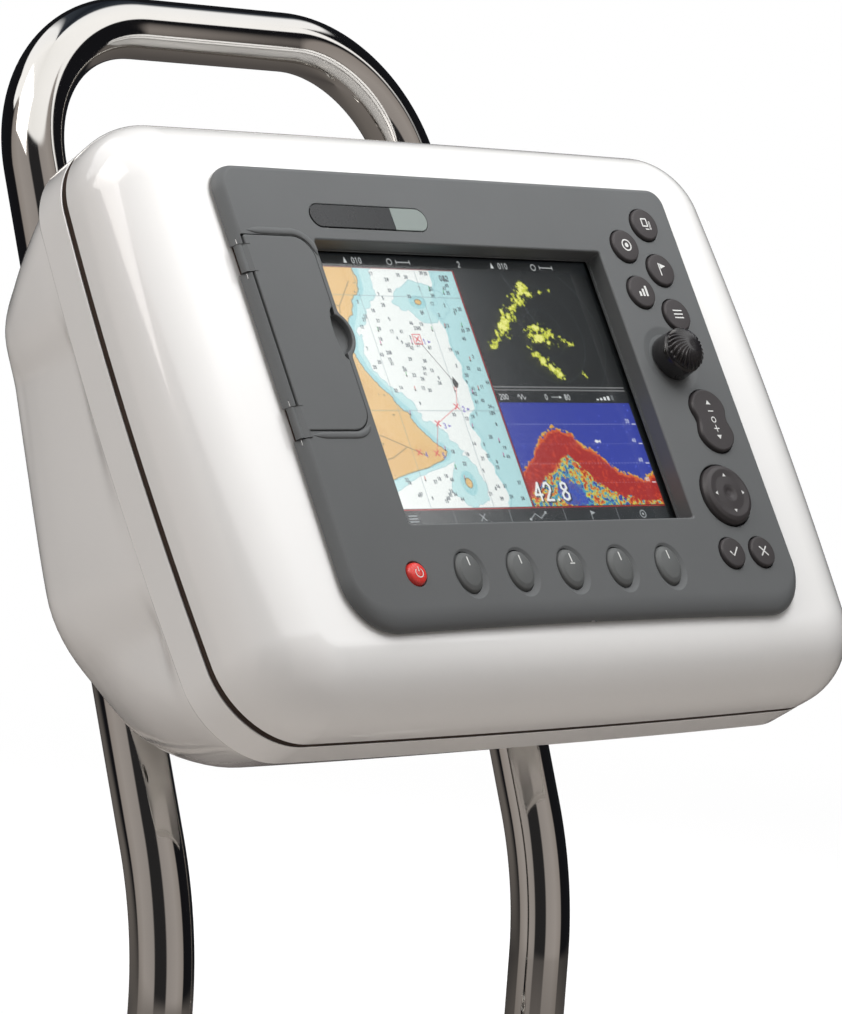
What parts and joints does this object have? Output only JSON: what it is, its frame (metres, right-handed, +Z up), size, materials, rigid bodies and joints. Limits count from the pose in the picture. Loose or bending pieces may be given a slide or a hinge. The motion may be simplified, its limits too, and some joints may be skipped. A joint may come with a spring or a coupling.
{
  "type": "fish finder",
  "caption": "Chart and sonar display in a white two-shell helm pod, clamped to a bent tubular stainless guard that stands on two round deck flanges.",
  "frame": {"origin": "on the deck, under the middle of the overall box", "axes": "+X right as seen from in front of the screen, +Z up, the screen faces -Y and leans back 32 degrees"},
  "size_m": [0.374, 0.296, 0.503],
  "materials": {
    "polished_steel": "mirror-polished stainless steel",
    "fastener_steel": "satin stainless steel",
    "white_gelcoat": "glossy white moulded shell",
    "gasket_rubber": "dark brown rubber, matt",
    "case_grey": "finely textured mid-grey plastic",
    "key_dark": "dark grey textured key caps",
    "power_red": "semi-gloss red cap",
    "display_glass": "anti-glare display window",
    "board_green": "circuit board",
    "silicone": "moulded silicone keypad",
    "badge_plate": "plain two-tone plate, no lettering",
    "black_plastic": "black plastic"
  },
  "bodies": {
    "housing": {"guard_tube": "polished_steel", "left_deck_flange": "polished_steel", "right_deck_flange": "polished_steel", "left_set_screw": "fastener_steel", "right_set_screw": "fastener_steel", "left_leg_clamp": "polished_steel", "right_leg_clamp": "polished_steel", "left_clamp_bolt_inner": "fastener_steel", "left_clamp_bolt_outer": "fastener_steel", "right_clamp_bolt_inner": "fastener_steel", "right_clamp_bolt_outer": "fastener_steel", "pod_front_shell": "white_gelcoat", "pod_rear_shell": "white_gelcoat", "pod_gasket": "gasket_rubber", "pod_screw_upper_left": "fastener_steel", "pod_screw_upper_right": "fastener_steel", "pod_screw_lower_left": "fastener_steel", "pod_screw_lower_right": "fastener_steel", "left_cable_grommet": "gasket_rubber", "right_cable_grommet": "gasket_rubber", "bezel": "case_grey", "panel_gasket": "gasket_rubber", "case_seal": "gasket_rubber", "rear_case": "case_grey", "badge_plate": "badge_plate", "window_lens": "display_glass", "lcd_panel": "black_plastic", "main_board": "board_green", "keypad_board": "board_green", "keypad_mat": "silicone", "card_reader": "black_plastic", "door_pin_upper": "fastener_steel", "door_pin_lower": "fastener_steel", "encoder_body": "black_plastic", "power_plug": "black_plastic", "transducer_plug": "black_plastic", "power_cable": "black_plastic", "transducer_cable": "black_plastic"},
    "card_door": {"card_door": "case_grey"},
    "knob": {"knob": "black_plastic", "knob_shaft": "fastener_steel"},
    "range_rocker": {"range_rocker": "key_dark"},
    "trackpad_pivot": {"trackpad_pivot": "black_plastic"},
    "trackpad": {"trackpad": "key_dark"},
    "power_button": {"power_button": "power_red"},
    "page_button": {"page_button": "key_dark"},
    "active_button": {"active_button": "key_dark"},
    "waypoint_button": {"waypoint_button": "key_dark"},
    "data_button": {"data_button": "key_dark"},
    "menu_button": {"menu_button": "key_dark"},
    "ok_button": {"ok_button": "key_dark"},
    "cancel_button": {"cancel_button": "key_dark"},
    "soft_key_1": {"soft_key_1": "case_grey"},
    "soft_key_2": {"soft_key_2": "case_grey"},
    "soft_key_3": {"soft_key_3": "case_grey"},
    "soft_key_4": {"soft_key_4": "case_grey"},
    "soft_key_5": {"soft_key_5": "case_grey"}
  },
  "joints": [
    {"name": "card_door_hinge", "type": "hinge", "parent": "housing", "child": "card_door", "pos_m": [-0.1352, -0.07452, 0.36549], "axis": [0, -0.5299, -0.848], "range_deg": [0, 110]},
    {"name": "knob_turn", "type": "hinge", "parent": "housing", "child": "knob", "pos_m": [0.1022, -0.08504, 0.36169], "axis": [0, -0.848, 0.5299], "continuous": true},
    {"name": "range_rock", "type": "hinge", "parent": "housing", "child": "range_rocker", "pos_m": [0.1138, -0.09659, 0.33188], "axis": [1, 0, 0], "range_deg": [-3, 3]},
    {"name": "trackpad_tilt_up_down", "type": "hinge", "parent": "housing", "child": "trackpad_pivot", "pos_m": [0.1055, -0.11417, 0.29959], "axis": [1, 0, 0], "range_deg": [-3, 3]},
    {"name": "trackpad_tilt_left_right", "type": "hinge", "parent": "trackpad_pivot", "child": "trackpad", "pos_m": [0.1055, -0.11417, 0.29959], "axis": [0, 0.5299, 0.848], "range_deg": [-3, 3]},
    {"name": "power_press", "type": "slide", "parent": "housing", "child": "power_button", "axis": [0, 0.848, -0.5299], "range_m": [0, 0.001]},
    {"name": "page_press", "type": "slide", "parent": "housing", "child": "page_button", "axis": [0, 0.848, -0.5299], "range_m": [0, 0.001]},
    {"name": "active_press", "type": "slide", "parent": "housing", "child": "active_button", "axis": [0, 0.848, -0.5299], "range_m": [0, 0.001]},
    {"name": "waypoint_press", "type": "slide", "parent": "housing", "child": "waypoint_button", "axis": [0, 0.848, -0.5299], "range_m": [0, 0.001]},
    {"name": "data_press", "type": "slide", "parent": "housing", "child": "data_button", "axis": [0, 0.848, -0.5299], "range_m": [0, 0.001]},
    {"name": "menu_press", "type": "slide", "parent": "housing", "child": "menu_button", "axis": [0, 0.848, -0.5299], "range_m": [0, 0.001]},
    {"name": "ok_press", "type": "slide", "parent": "housing", "child": "ok_button", "axis": [0, 0.848, -0.5299], "range_m": [0, 0.001]},
    {"name": "cancel_press", "type": "slide", "parent": "housing", "child": "cancel_button", "axis": [0, 0.848, -0.5299], "range_m": [0, 0.001]},
    {"name": "soft_key_1_press", "type": "slide", "parent": "housing", "child": "soft_key_1", "axis": [0, 0.848, -0.5299], "range_m": [0, 0.001]},
    {"name": "soft_key_2_press", "type": "slide", "parent": "housing", "child": "soft_key_2", "axis": [0, 0.848, -0.5299], "range_m": [0, 0.001]},
    {"name": "soft_key_3_press", "type": "slide", "parent": "housing", "child": "soft_key_3", "axis": [0, 0.848, -0.5299], "range_m": [0, 0.001]},
    {"name": "soft_key_4_press", "type": "slide", "parent": "housing", "child": "soft_key_4", "axis": [0, 0.848, -0.5299], "range_m": [0, 0.001]},
    {"name": "soft_key_5_press", "type": "slide", "parent": "housing", "child": "soft_key_5", "axis": [0, 0.848, -0.5299], "range_m": [0, 0.001]}
  ]
}
